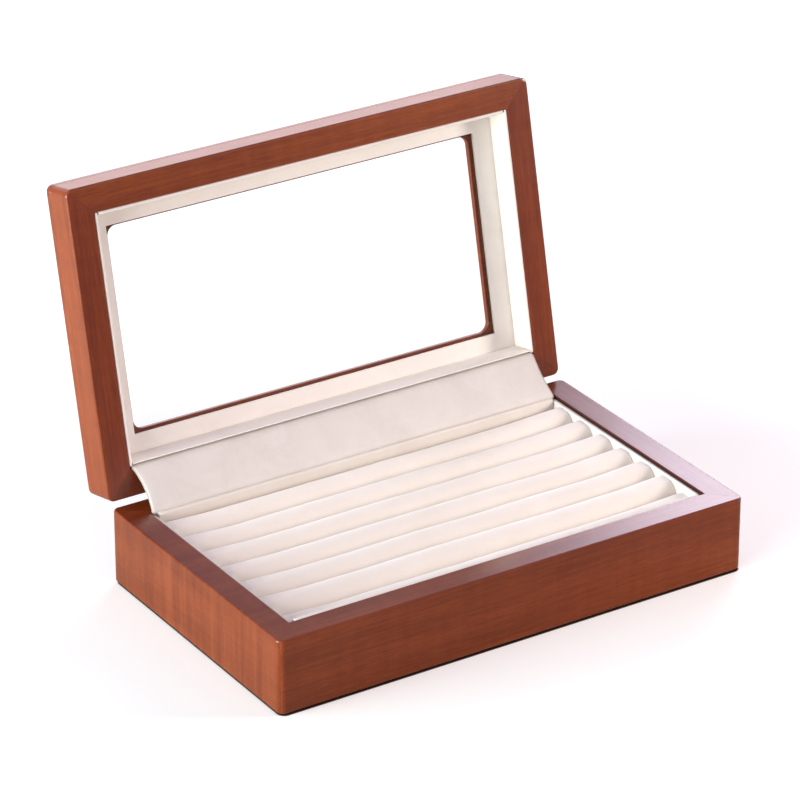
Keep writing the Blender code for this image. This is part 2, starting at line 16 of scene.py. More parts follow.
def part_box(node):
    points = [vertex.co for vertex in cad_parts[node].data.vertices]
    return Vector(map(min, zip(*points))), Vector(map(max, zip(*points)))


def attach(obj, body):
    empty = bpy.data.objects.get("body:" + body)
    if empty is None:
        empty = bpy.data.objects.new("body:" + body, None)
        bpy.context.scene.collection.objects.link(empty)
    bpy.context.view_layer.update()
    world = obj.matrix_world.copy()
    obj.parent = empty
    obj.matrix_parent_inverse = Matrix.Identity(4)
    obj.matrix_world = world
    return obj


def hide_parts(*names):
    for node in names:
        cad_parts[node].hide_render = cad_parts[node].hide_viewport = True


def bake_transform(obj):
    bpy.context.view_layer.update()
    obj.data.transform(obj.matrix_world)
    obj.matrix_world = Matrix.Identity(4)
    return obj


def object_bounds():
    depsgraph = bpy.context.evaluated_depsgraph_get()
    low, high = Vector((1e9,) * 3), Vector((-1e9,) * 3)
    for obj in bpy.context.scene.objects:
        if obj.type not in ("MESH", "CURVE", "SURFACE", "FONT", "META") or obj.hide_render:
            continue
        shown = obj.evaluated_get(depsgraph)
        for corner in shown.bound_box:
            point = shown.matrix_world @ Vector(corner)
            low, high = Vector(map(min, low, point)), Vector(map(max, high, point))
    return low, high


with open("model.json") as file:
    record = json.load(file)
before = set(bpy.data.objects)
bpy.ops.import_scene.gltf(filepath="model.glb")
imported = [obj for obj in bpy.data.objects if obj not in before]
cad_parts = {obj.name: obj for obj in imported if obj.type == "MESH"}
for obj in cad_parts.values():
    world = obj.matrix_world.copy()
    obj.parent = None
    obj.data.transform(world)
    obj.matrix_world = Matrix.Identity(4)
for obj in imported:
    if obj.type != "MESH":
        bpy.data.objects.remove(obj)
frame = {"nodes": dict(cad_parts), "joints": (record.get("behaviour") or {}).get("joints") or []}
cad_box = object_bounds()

NODES = frame["nodes"]
HINGE = frame["joints"][0]
PIN = Vector(HINGE["pos_m"])
SHUT_ANGLE = math.radians(HINGE["range_deg"][1])
TO_SHUT = Matrix.Translation(PIN) @ Matrix.Rotation(SHUT_ANGLE, 4, "X") @ Matrix.Translation(-PIN)
TO_OPEN = TO_SHUT.inverted()

# Camera, at the height and side that a person standing in front and to the left has
CAMERA_TARGET = Vector((0.010, 0.041, 0.076))
CAMERA_AZIMUTH = math.radians(-32.716)
CAMERA_ELEVATION = math.radians(26.409)
CAMERA_DISTANCE = 2.187
CAMERA_LENS = 200.7

# Ring rolls
ROLL_RINGS = 96
ROLL_SIDE_STEPS = 9
ROLL_ARCH_STEPS = 14
ROLL_END_REACH = 0.0016
ROLL_END_DROOP = 0.0001
ROLL_END_ROUND = 0.0003
ROLL_END_PINCH = 0.02
ROLL_INSET = 0.00045
ROLL_END_SPARE = 0.0011
ROLL_GAP = 0.00012
ROLL_SWAY = 0.00018
ROLL_LIFT = 0.00035
ROLL_GLUE_HEIGHT = 0.0008
ROLL_SIM_FRAMES = 20
ROLL_MOST_MOVE = 0.0016

# Covered boards
BOARD_EDGE_SHARE = 0.42
BOARD_CROWN = 0.00012

# Hinge flap
FLAP_ROWS = 44
FLAP_COLUMNS = 150
FLAP_THICKNESS = 0.0007
FLAP_TUCK = 0.008
FLAP_TUCK_STEPS = 8
FLAP_BULGE = 0.0010
FLAP_SHADOW_GAP = 0.0009
FLAP_SIDE_GAP = 0.0001
FLAP_WAVE = 0.00045
FLAP_RIPPLE = 0.00012
FLAP_EDGE_DROP = 0.0004
FLAP_EDGE_REACH = 0.006
FLAP_WAIST = 0.0012
FLAP_FREE_FROM, FLAP_FREE_TO = 0.18, 0.82

# How far past the liners the inner faces of the walls, painted dark as shade, are taken to reach
INSIDE_SPARE = 0.0004

# (suede's colour, and its colour in the darker patches)
LINING = ((0.80, 0.745, 0.695), (0.745, 0.685, 0.63))
# Darker copies of the lining for the base's back and right liners: painted shade.
LINING_BACK_SHADED = ((0.73, 0.67, 0.61), (0.68, 0.615, 0.55))
LINING_RIGHT_SHADED = ((0.68, 0.635, 0.59), (0.635, 0.585, 0.535))
ROLLS = ((0.89, 0.835, 0.775), (0.85, 0.785, 0.72))
FLAP = ((0.71, 0.655, 0.615), (0.63, 0.575, 0.535))

# (name, place, target, size, watts, colour, spread in degrees)
LIGHTS = [
    ("key_left", (-1.8, -0.40, 0.50), (0, 0, 0.08), (1.5, 0.7), 34.8, (1.0, 0.935, 0.885), 180),
    ("left_low", (-1.5, 0.3, 0.15), (0, 0, 0.08), (1.0, 0.3), 50, (0.76, 1.0, 1.0), 180),
    ("back_right_card", (2.14, 1.80, 1.30), (0, 0, 0.1), (1.15, 1.2), 35, (0.88, 0.85, 1.0), 180),
    ("low_back_card", (0.50, 2.2, 0.40), (0, 0, 0.1), (1.7, 0.6), 5.5, (1.0, 0.73, 0.69), 180),
    ("front_right_fill", (0.85, -0.55, 0.38), (0.14, 0, 0.1), (0.3, 0.3), 0.85, (1.0, 0.93, 0.86), 50),
]
WORLD = ((0.86, 0.77, 1.0), 0.39)

# The table's glow near the box and far from it, and the distances between which it changes
FLOOR_GLOW = (0.20, 0.60)
FLOOR_GLOW_REACH = (0.22, 0.85)

# The contact shadow, which is drawn on the table: its colour, how far inside the base's sides its core
# ends, its shift away from the key light, and the distances past the core between which it fades
CONTACT_COLOUR = (0.045, 0.018, 0.010)
CONTACT_INSET = (0.0043, 0.0040)
CONTACT_SHIFT = (-0.0003, 0.0003, 0)
CONTACT_FADE = (0.0037, 0.0045)


# ---------------------------------------------------------------- materials


class Recipe:
    """One material's node tree, with short calls for the nodes that it uses most."""

    def __init__(self, name):
        self.material = bpy.data.materials.new(name)
        self.material.use_nodes = True
        self.tree = self.material.node_tree
        self.shader = self.tree.nodes["Principled BSDF"]
        own = self.add("ShaderNodeTexCoord").outputs
        self.place, self.facing = own["Object"], own["Normal"]

    def add(self, kind, inputs=None, **settings):
        node = self.tree.nodes.new(kind)
        for key, value in settings.items():
            setattr(node, key, value)
        for key, value in (inputs or {}).items():
            if isinstance(value, bpy.types.NodeSocket):
                self.tree.links.new(value, node.inputs[key])
            else:
                node.inputs[key].default_value = value
        return node

    def shade(self, **inputs):
        """Sets or links the shader's inputs. An underscore in a key stands for a space."""
        for key, value in inputs.items():
            socket = self.shader.inputs[key.replace("_", " ")]
            if isinstance(value, bpy.types.NodeSocket):
                self.tree.links.new(value, socket)
            else:
                socket.default_value = value

    def stretched(self, vector, scale, shift=(0, 0, 0)):
        inputs = {"Vector": vector, "Scale": scale, "Location": shift}
        return self.add("ShaderNodeMapping", inputs).outputs[0]

    def rotated(self, vector, turn):
        return self.add("ShaderNodeMapping", {"Vector": vector, "Rotation": turn}).outputs[0]

    def noise(self, vector, scale=1.0, detail=2.0, roughness=0.5, distortion=0.0):
        inputs = {
            "Vector": vector,
            "Scale": scale,
            "Detail": detail,
            "Roughness": roughness,
            "Distortion": distortion,
        }
        return self.add("ShaderNodeTexNoise", inputs).outputs["Fac"]

    def between(self, value, low, high, to_low=0.0, to_high=1.0):
        """Maps value from low..high to to_low..to_high, and holds it there beyond them."""
        inputs = {"Value": value, "From Min": low, "From Max": high, "To Min": to_low, "To Max": to_high}
        return self.add("ShaderNodeMapRange", inputs).outputs["Result"]

    def ramp(self, value, stops):
        ramp = self.add("ShaderNodeValToRGB", {"Fac": value})
        elements = ramp.color_ramp.elements
        while len(elements) < len(stops):
            elements.new(0.5)
        for element, (position, colour) in zip(elements, stops):
            element.position = position
            element.color = (*colour, 1)
        return ramp.outputs["Color"]

    def math(self, operation, first, second):
        return self.add("ShaderNodeMath", {0: first, 1: second}, operation=operation).outputs[0]

    def weighted(self, parts):
        """The sum of (value, weight) parts."""
        total = None
        for value, weight in parts:
            part = self.math("MULTIPLY", value, weight)
            total = part if total is None else self.math("ADD", total, part)
        return total

    def mix(self, factor, first, second, blend="MIX"):
        """Mixes two colours. A plain colour is given as three numbers."""
        inputs = {"Factor": factor}
        for key, value in (("A", first), ("B", second)):
            inputs[key] = value if isinstance(value, bpy.types.NodeSocket) else (*value, 1)
        node = self.tree.nodes.new("ShaderNodeMix")
        node.data_type = "RGBA"
        node.blend_type = blend
        sockets = {"Factor": node.inputs[0], "A": node.inputs[6], "B": node.inputs[7]}
        for key, value in inputs.items():
            if isinstance(value, bpy.types.NodeSocket):
                self.tree.links.new(value, sockets[key])
            else:
                sockets[key].default_value = value
        return node.outputs[2]

    def bump(self, height, strength, distance, normal=None):
        inputs = {"Height": height, "Strength": strength, "Distance": distance}
        if normal is not None:
            inputs["Normal"] = normal
        return self.add("ShaderNodeBump", inputs).outputs[0]

    def edges(self, radius, sharpest):
        """1 on edges that stand out or turn in, 0 on flats."""
        rounded = self.add("ShaderNodeBevel", {"Radius": radius}, samples=4).outputs[0]
        true_normal = self.add("ShaderNodeNewGeometry").outputs["True Normal"]
        along = self.add("ShaderNodeVectorMath", {0: rounded, 1: true_normal}, operation="DOT_PRODUCT")
        return self.between(along.outputs["Value"], 1.0, sharpest)


def painted_shade_inside(recipe):
    """1 on faces that look into the box, 0 on the rims and outside. The base's walls are painted dark
    there, as shade.
    """
    low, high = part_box("base_liner_right")
    half_width, half_depth = high.x + INSIDE_SPARE, abs(low.y - INSIDE_SPARE)
    apart = recipe.add("ShaderNodeSeparateXYZ", {"Vector": recipe.place}).outputs
    across = recipe.math("LESS_THAN", recipe.math("ABSOLUTE", apart["X"], 0.0), half_width)
    along = recipe.math("LESS_THAN", recipe.math("ABSOLUTE", apart["Y"], 0.0), half_depth)
    return recipe.math("MULTIPLY", across, along)


def cherry(name, turn, seed, tone, curl, base):
    """Stained cherry under satin lacquer. turn brings the grain's direction onto X.

    tone scales the colour as painted light, curl is the share of the figure that runs across the grain, and
    base is true for the base's walls, whose rims keep the plain colour and whose inner faces are painted
    dark as shade.
    """
    wood = Recipe(name)
    board = wood.rotated(wood.place, turn)
    shift = (seed * 1.7, seed * 0.9, seed * 2.3)
    broad = wood.noise(wood.stretched(board, (7, 60, 60), shift), detail=3)
    bands = wood.noise(wood.stretched(board, (150, 11, 11), shift), detail=3, roughness=0.6, distortion=0.4)
    streaks = wood.noise(wood.stretched(board, (22, 650, 650), shift), detail=3, distortion=0.3)
    flecks = wood.noise(wood.stretched(board, (150, 2200, 2200), shift), detail=2)
    pores = wood.noise(wood.stretched(board, (330, 4200, 4200), shift), detail=1)
    plain = 1 - curl
    parts = [(broad, 0.30), (bands, 0.60 * curl), (streaks, 0.40 * plain), (flecks, 0.10 + 0.20 * plain)]
    figure = wood.weighted(parts)
    stops = [(0.39, (0.130, 0.020, 0.0045)), (0.50, (0.170, 0.029, 0.0065)), (0.61, (0.214, 0.040, 0.0100))]
    colour = wood.ramp(figure, stops)
    facing = wood.add("ShaderNodeSeparateXYZ", {"Vector": wood.facing}).outputs
    on_rim = wood.between(facing["Z"], 0.5, 0.8) if base else 0.0
    # Painted light: tone brightens or darkens the sides, but not the base's rims.
    colour = wood.mix(1.0, colour, wood.mix(on_rim, tone, (1, 1, 1)), "MULTIPLY")
    in_pore = wood.between(pores, 0.66, 0.74, 0, 0.35)
    colour = wood.mix(in_pore, colour, (0.075, 0.014, 0.007))
    # Edges are painted lighter: partly wear, partly a painted highlight on the rounded edges.
    edge_wear_and_highlight = wood.math("MULTIPLY", wood.edges(0.0009, 0.84), 0.14)
    colour = wood.mix(edge_wear_and_highlight, colour, (0.30, 0.066, 0.020))
    # Painted shade: the inner faces of the base's walls, seen as a thin strip above the liners, are painted
    # near black.
    if base:
        colour = wood.mix(wood.math("MULTIPLY", painted_shade_inside(wood), 0.85), colour, (0.030, 0.007, 0.005))
    peel = wood.noise(wood.place, 420, detail=2)
    grain = wood.weighted([(streaks, 0.5), (in_pore, -1.0)])
    lacquer = wood.noise(wood.place, 55, detail=4)
    wood.shade(
        Base_Color=colour,
        Roughness=wood.between(lacquer, 0.3, 0.7, 0.30, 0.40),
        Specular_IOR_Level=0.08,
        Normal=wood.bump(grain, 0.05, 0.00005),
        Coat_Weight=1.0,
        Coat_Roughness=0.20,
        Coat_IOR=1.5,
        Coat_Normal=wood.bump(peel, 0.03, 0.0003),
    )
    return wood.material


def suede(name, colour, shade, nap_scale=2600, fuzz=0.25, shade_side_faces=False, shade_front_slopes=False):
    """Brushed suede: a fine nap with softly lighter and darker patches.

    The faces to the left and right can be painted dark, as painted shade, and so can the slopes that face
    the front, a little.
    """
    cloth = Recipe(name)
    patches = cloth.noise(cloth.place, 38, detail=4, roughness=0.6, distortion=0.8)
    nap = cloth.noise(cloth.place, nap_scale, detail=3, roughness=0.65)
    brushed = cloth.noise(cloth.stretched(cloth.place, (900, 2400, 2400)), detail=2)
    tone = cloth.weighted([(patches, 0.55), (nap, 0.30), (brushed, 0.15)])
    height = cloth.weighted([(nap, 0.6), (brushed, 0.4)])
    surface = cloth.ramp(tone, [(0.36, shade), (0.62, colour)])
    facing = cloth.add("ShaderNodeSeparateXYZ", {"Vector": cloth.facing}).outputs
    # Painted shade: faces that look left or right are painted dark.
    if shade_side_faces:
        sideways = cloth.math("ABSOLUTE", facing["X"], 0.0)
        surface = cloth.mix(cloth.between(sideways, 0.35, 0.8), surface, (0.26, 0.22, 0.19))
    # Painted shade: slopes that face the front are painted a little darker.
    if shade_front_slopes:
        front_slope_shade = cloth.mix(1.0, surface, (0.905, 0.89, 0.865), "MULTIPLY")
        surface = cloth.mix(cloth.between(facing["Y"], -0.80, 0.05), front_slope_shade, surface)
    cloth.shade(
        Base_Color=surface,
        Roughness=cloth.between(patches, 0.3, 0.7, 0.82, 0.95),
        Specular_IOR_Level=0.2,
        Sheen_Weight=fuzz,
        Sheen_Roughness=0.45,
        Sheen_Tint=(1.0, 0.95, 0.90, 1),
        Normal=cloth.bump(patches, 0.10, 0.0006, cloth.bump(height, 0.35, 0.00012)),
    )
    return cloth.material


def metal(name, colour, tarnish, roughness):
    """Rolled and tumbled metal, with fine scratches and duller patches."""
    work = Recipe(name)
    patches = work.noise(work.place, 260, detail=4)
    scratches = work.noise(work.stretched(work.place, (350, 5200, 5200)), detail=2)
    specks = work.noise(work.place, 2600, detail=2)
    dull = work.between(patches, 0.45, 0.72)
    shine = work.edges(0.00025, 0.8)
    surface = work.mix(work.math("MULTIPLY", dull, 0.55), colour, tarnish)
    bright = tuple(min(1, part * 1.25) for part in colour)
    surface = work.mix(work.math("MULTIPLY", shine, 0.4), surface, bright)
    grain = work.weighted([(scratches, 0.7), (specks, 0.3)])
    scuffs = work.math("ADD", patches, scratches)
    work.shade(
        Base_Color=surface,
        Metallic=1.0,
        Roughness=work.between(scuffs, 0.7, 1.3, roughness * 0.7, roughness * 1.4),
        Normal=work.bump(grain, 0.12, 0.00005),
    )
    return work.material


def window_glass():
    """Clear glass: it lets the view and the light through, and mirrors a little more at a slant."""
    glass = Recipe("window_glass")
    smudges = glass.noise(glass.place, 24, detail=5, roughness=0.6)
    specks = glass.noise(glass.place, 1500, detail=1)
    dust = glass.weighted([(smudges, 1.0), (specks, 0.1)])
    glass.shade(
        Base_Color=(0.95, 0.98, 0.97, 1),
        Metallic=1.0,
        Roughness=glass.between(dust, 0.5, 0.75, 0.01, 0.07),
    )
    clear = glass.add("ShaderNodeBsdfTransparent", {"Color": (0.985, 0.992, 0.99, 1)}).outputs[0]
    slant = glass.add("ShaderNodeFresnel", {"IOR": 1.45}).outputs[0]
    front = glass.math("SUBTRACT", 1.0, glass.add("ShaderNodeNewGeometry").outputs["Backfacing"])
    # Inside the pane the slanting rays go straight out, as they do from a thin sheet.
    mirror = glass.math("MULTIPLY", slant, front)
    pane = glass.add("ShaderNodeMixShader", {0: mirror, 1: clear, 2: glass.shader.outputs[0]}).outputs[0]
    output = glass.tree.nodes["Material Output"]
    glass.tree.links.new(pane, output.inputs["Surface"])
    return glass.material


def felt():
    """Dark pressed felt, with loose fibres."""
    pad = Recipe("felt")
    fibres = pad.noise(pad.place, 3000, detail=4, roughness=0.7, distortion=1.5)
    clumps = pad.noise(pad.place, 300, detail=3)
    tone = pad.weighted([(fibres, 0.6), (clumps, 0.4)])
    pad.shade(
        Base_Color=pad.ramp(tone, [(0.35, (0.018, 0.018, 0.022)), (0.65, (0.060, 0.058, 0.062))]),
        Roughness=pad.between(clumps, 0.3, 0.7, 0.88, 1.0),
        Sheen_Weight=0.3,
        Sheen_Roughness=0.6,
        Normal=pad.bump(tone, 0.6, 0.0002),
    )
    return pad.material


def raw_board(name, light, dark):
    """Plain card or plywood, with fibres along X."""
    card = Recipe(name)
    fibres = card.noise(card.stretched(card.place, (60, 1400, 1400)), detail=4)
    flecks = card.noise(card.place, 900, detail=2)
    tone = card.weighted([(fibres, 0.7), (flecks, 0.3)])
    card.shade(
        Base_Color=card.ramp(tone, [(0.35, dark), (0.65, light)]),
        Roughness=card.between(flecks, 0.3, 0.7, 0.7, 0.85),
        Normal=card.bump(tone, 0.3, 0.00015),
    )
    return card.material


def dress(name, material):
    slots = NODES[name].data.materials
    slots.clear()
    slots.append(material)


def soften(name, edge):
    """Rounds a CAD piece's sharp edges by edge metres and shades its rounded ones smoothly."""
    obj = NODES[name]
    for face in obj.data.polygons:
        face.use_smooth = True
    weld = obj.modifiers.new("weld", "WELD")
    weld.merge_threshold = 0.000005
    flats = obj.modifiers.new("flats", "DECIMATE")
    flats.decimate_type = "DISSOLVE"
    flats.angle_limit = math.radians(0.5)
    bevel = obj.modifiers.new("edge", "BEVEL")
    bevel.width = edge
    bevel.segments = 2
    bevel.limit_method = "ANGLE"
    bevel.angle_limit = math.radians(38)
    bevel.use_clamp_overlap = True
    normals = obj.modifiers.new("normals", "WEIGHTED_NORMAL")
    normals.weight = 60


def dress_wood():
    along_x = (0, 0, 0)
    along_y = (0, 0, math.pi / 2)
    shut = (SHUT_ANGLE, 0, 0)
    shut_along_y = (SHUT_ANGLE, 0, math.pi / 2)
    turns = {
        "base_front_wall": along_x,
        "base_back_wall": along_x,
        "base_left_wall": along_y,
        "base_right_wall": along_y,
        "lid_front_wall": shut,
        "lid_back_wall": shut,
        "lid_left_wall": shut_along_y,
        "lid_right_wall": shut_along_y,
        "lid_window_frame": shut,
    }
    # Painted light: the fronts of the base and lid are painted lighter, the lid's more golden, and the
    # base's left side darker.
    painted_light_tones = {
        "base_front_wall": (1.2, 1.2, 1.0),
        "base_left_wall": (0.82, 0.82, 0.82),
        "lid_front_wall": (1.2, 1.4, 1.1),
    }
    curls = {"base_left_wall": 0.75}
    for seed, (name, turn) in enumerate(turns.items(), start=1):
        tone = painted_light_tones.get(name, (1, 1, 1))
        curl = curls.get(name, 0.22)
        dress(name, cherry(f"cherry_{name}", turn, seed, tone, curl, name.startswith("base")))
    soften("lid_window_frame", 0.0003)


def dress_fittings():
    brass = metal("hinge_brass", (0.80, 0.58, 0.27), (0.42, 0.28, 0.12), 0.26)
    steel = metal("hinge_steel", (0.66, 0.66, 0.64), (0.34, 0.33, 0.32), 0.30)
    for name in NODES:
        if name.startswith("hinge_leaf"):
            dress(name, brass)
            soften(name, 0.00008)
        elif name.startswith(("hinge_pin", "hinge_screw")):
            dress(name, steel)
            soften(name, 0.00004)
    dress("glass_pane", window_glass())
    dress("base_felt_pad", felt())
    dress("tray_board", raw_board("card", (0.52, 0.43, 0.31), (0.36, 0.28, 0.19)))
    dress("base_bottom_panel", raw_board("panel_board", (0.40, 0.20, 0.10), (0.24, 0.10, 0.05)))


# ---------------------------------------------------------------- soft pieces


def add_piece(name, bm, material):
    bmesh.ops.recalc_face_normals(bm, faces=bm.faces)
    mesh = bpy.data.meshes.new(name)
    bm.to_mesh(mesh)
    bm.free()
    mesh.shade_smooth()
    mesh.materials.append(material)
    obj = bpy.data.objects.new(name, mesh)
    bpy.context.scene.collection.objects.link(obj)
    return obj


def loft(rings, closed_ends):
    """Joins equal rings of points with quads, and closes both ends with a fan."""
    bm = bmesh.new()
    rows = [[bm.verts.new(point) for point in ring] for ring in rings]
    count = len(rows[0])
    for lower, upper in zip(rows, rows[1:]):
        for index in range(count):
            following = (index + 1) % count
            bm.faces.new((lower[index], lower[following], upper[following], upper[index]))
    if closed_ends:
        for row in (rows[0], rows[-1]):
            middle = bm.verts.new(sum((vert.co for vert in row), Vector()) / count)
            for index in range(count):
                bm.faces.new((row[index], row[(index + 1) % count], middle))
    return bm


def roll_section(half_width, top):
    """An upright arch in (across, up), from the bottom's left corner and round."""
    shoulder = max(top - half_width, top * 0.25)
    crown = top - shoulder
    points = []
    for step in range(ROLL_SIDE_STEPS):
        points.append((-half_width, shoulder * step / ROLL_SIDE_STEPS))
    for step in range(ROLL_ARCH_STEPS + 1):
        angle = math.pi * (1 - step / ROLL_ARCH_STEPS)
        points.append((half_width * math.cos(angle), shoulder + crown * math.sin(angle)))
    for step in range(ROLL_SIDE_STEPS - 1, -1, -1):
        points.append((half_width, shoulder * step / ROLL_SIDE_STEPS))
    for part in (0.5, 0.0, -0.5):
        points.append((half_width * part, 0.0))
    return points


def shrunk(ring, share):
    """The ring drawn in to this share of its size, about its middle."""
    middle = sum(ring, Vector()) / len(ring)
    return [middle.lerp(point, share) for point in ring]


def roll_rings(low, high):
    """Sections along a roll: full in the middle, and rounded over at both ends."""
    centre = (low + high) / 2
    half_length, half_width, top = (high.x - low.x) / 2, (high.y - low.y) / 2, high.z - low.z
    rings = []
    for step in range(ROLL_RINGS + 1):
        # Stations crowd towards the ends, where the shape turns.
        part = 2 * step / ROLL_RINGS - 1
        x = half_length * (0.7 * math.sin(math.pi * part / 2) + 0.3 * part)
        into_end = max(0.0, 1 - (half_length - abs(x)) / ROLL_END_REACH)
        rounding = 1 - math.sqrt(1 - into_end**3)
        drop = ROLL_END_DROOP * into_end**1.6 + ROLL_END_ROUND * rounding
        section = roll_section(half_width * (1 - ROLL_END_PINCH * rounding), top - drop)
        rings.append([Vector((centre.x + x, centre.y + across, low.z + up)) for across, up in section])
    # Smaller rings on the flat ends keep the corners full when the mesh is smoothed.
    first = [shrunk(rings[0], share) for share in (0.5, 0.86, 0.96)]
    last = [shrunk(rings[-1], share) for share in (0.96, 0.86, 0.5)]
    return first + rings + last


def settle(obj, low):
    """Inflates a roll as cloth that is glued to the board, and returns where its points come to rest."""
    scene = bpy.context.scene
    start = np.array([vert.co for vert in obj.data.vertices])
    glued = obj.vertex_groups.new(name="glued")
    on_board = [vert.index for vert in obj.data.vertices if vert.co.z < low.z + ROLL_GLUE_HEIGHT]
    glued.add(on_board, 1.0, "ADD")
    cloth = obj.modifiers.new("cloth", "CLOTH")
    cloth.settings.vertex_group_mass = glued.name
    cloth.settings.mass = 0.2
    cloth.settings.tension_stiffness = 12
    cloth.settings.compression_stiffness = 12
    cloth.settings.bending_stiffness = 0.3
    cloth.settings.use_pressure = True
    cloth.settings.uniform_pressure_force = 4
    cloth.settings.effector_weights.gravity = 0
    cloth.point_cache.frame_start = 1
    cloth.point_cache.frame_end = ROLL_SIM_FRAMES
    for step in range(1, ROLL_SIM_FRAMES + 1):
        scene.frame_set(step)
    evaluated = obj.evaluated_get(bpy.context.evaluated_depsgraph_get())
    moved = np.array([vert.co for vert in evaluated.data.vertices])
    obj.modifiers.remove(cloth)
    obj.vertex_groups.remove(glued)
    scene.frame_set(1)
    shift = moved - start
    length = np.linalg.norm(shift, axis=1, keepdims=True)
    shift *= np.minimum(1.0, ROLL_MOST_MOVE / np.maximum(length, 1e-9))
    return start + shift


def raise_crest(points, low, high):
    """Stretches a settled roll upwards until its crest is as high as the foam under it."""
    middle = np.abs(points[:, 0]) < (high.x - low.x) / 4
    crest = np.percentile(points[middle][:, 2], 99)
    points[:, 2] = low.z + (points[:, 2] - low.z) * (high.z - low.z) / (crest - low.z)
    return points


def add_roll(number, material):
    """A ring roll's suede cover, puffed out by its foam and held between its neighbours."""
    node = f"ring_roll_{number}"
    low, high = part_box(node)
    inset = Vector((-ROLL_END_SPARE, ROLL_INSET, 0))
    obj = add_piece(f"roll_cover_{number}", loft(roll_rings(low + inset, high - inset), True), material)
    for vert in obj.data.vertices:
        rise = (vert.co.z - low.z) / (high.z - low.z)
        lift = noise.noise(Vector((vert.co.x * 26, vert.co.y * 40, number * 3.1)))
        sway = noise.noise(Vector((vert.co.x * 30, number * 5.7, vert.co.z * 60)))
        vert.co += Vector((0, ROLL_SWAY * sway, ROLL_LIFT * lift)) * rise
    points = np.array([vert.co for vert in obj.data.vertices])
    # The liners hold the ends, so they don't draw in as the sides do.
    ends = points[:, 0]
    points = settle(obj, low)
    points[:, 0] = ends
    points = raise_crest(points, low, high)
    spare = Vector((ROLL_END_SPARE + ROLL_GAP, ROLL_GAP, ROLL_GAP))
    points = np.clip(points, low - spare, high + spare + Vector((0, 0, ROLL_GAP)))
    obj.data.vertices.foreach_set("co", points.astype(np.float32).ravel())
    smooth = obj.modifiers.new("smooth", "SUBSURF")
    smooth.levels = 1
    smooth.render_levels = 1
    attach(obj, "base")
    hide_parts(node)


def shut_box(name):
    """A lid node's lowest and highest corners with the lid shut."""
    points = np.array([TO_SHUT @ vert.co for vert in NODES[name].data.vertices])
    return Vector(points.min(axis=0)), Vector(points.max(axis=0))


def rounded_outline(thin, wide, corner):
    """Points round a rectangle of these half sizes, with more of them on its wide sides."""
    arcs = []
    for quarter, (side_thin, side_wide) in enumerate(((1, 1), (-1, 1), (-1, -1), (1, -1))):
        middle = Vector((side_thin * (thin - corner), side_wide * (wide - corner)))
        angles = [math.pi / 2 * (quarter + step / 4) for step in range(5)]
        arcs.append([middle + corner * Vector((math.cos(angle), math.sin(angle))) for angle in angles])
    outline = []
    for quarter, arc in enumerate(arcs):
        parts = 8 if quarter % 2 else 2
        following = arcs[(quarter + 1) % 4][0]
        outline += arc + [arc[-1].lerp(following, part / parts) for part in range(1, parts)]
    return outline


def stations_along(half_length, corner, count):
    """Places along a board, close together where its ends turn over."""
    end = [-half_length, -half_length + corner * 0.3, -half_length + corner]
    even = [half_length * math.sin(math.pi * (step / count - 0.5)) for step in range(count + 1)]
    inner = [along for along in even if abs(along) < half_length - corner * 1.5]
    return end + inner + [-along for along in reversed(end)]


def covered_board(name, low, high, turn, material):
    """A thin board wrapped in suede over a little wadding: round edges, and faces that swell slightly."""
    half = (high - low) / 2
    thin, wide, long = sorted(range(3), key=lambda axis: half[axis])
    corner = half[thin] * 2 * BOARD_EDGE_SHARE
    outline = rounded_outline(half[thin], half[wide], corner)
    loops = []
    for along in stations_along(half[long], corner, 26):
        into_end = max(0.0, 1 - (half[long] - abs(along)) / corner)
        shrink = corner * (1 - math.sqrt(max(0.0, 1 - into_end * into_end))) * 0.9
        loop = []
        for across, up in outline:
            across *= 1 - shrink / half[thin]
            up *= 1 - shrink / half[wide]
            ripple = noise.noise(Vector((along * 45, up * 90, len(name)))) * 0.25
            if abs(across) > half[thin] * 0.6:
                swell = 0.5 * (1 - (up / half[wide]) ** 2)
                across += BOARD_CROWN * (math.copysign(swell, across) + ripple)
            point = (low + high) / 2
            point[thin] += across
            point[wide] += up
            point[long] += along
            loop.append(turn @ point)
        loops.append(loop)
    return add_piece(name, loft(loops, True), material)


def add_liner_covers():
    """Suede boards round the inside. The base's back and right boards take darker copies of the lining:
    painted shade.
    """
    plain = suede("lining_suede", *LINING)
    ends_shaded = suede("lining_suede_ended", *LINING, shade_side_faces=True)
    back = suede("lining_suede_back_shaded", *LINING_BACK_SHADED, shade_side_faces=True)
    right = suede("lining_suede_right_shaded", *LINING_RIGHT_SHADED)
    side_suedes = {"front": ends_shaded, "back": ends_shaded, "left": plain, "right": plain}
    base_side_suedes = {**side_suedes, "back": back, "right": right}
    for body in ("base", "lid"):
        for side in ("front", "back", "left", "right"):
            node = f"{body}_liner_{side}"
            low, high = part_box(node) if body == "base" else shut_box(node)
            turn = Matrix.Identity(4) if body == "base" else TO_OPEN
            material = (base_side_suedes if body == "base" else side_suedes)[side]
            if (body, side) == ("lid", "back"):
                # Thinner than in the CAD on the wall's side: the wider gap shows the photo's dark line.
                high.y -= FLAP_SHADOW_GAP
            cover = covered_board(f"{body}_liner_cover_{side}", low, high, turn, material)
            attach(cover, body)
            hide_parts(node)


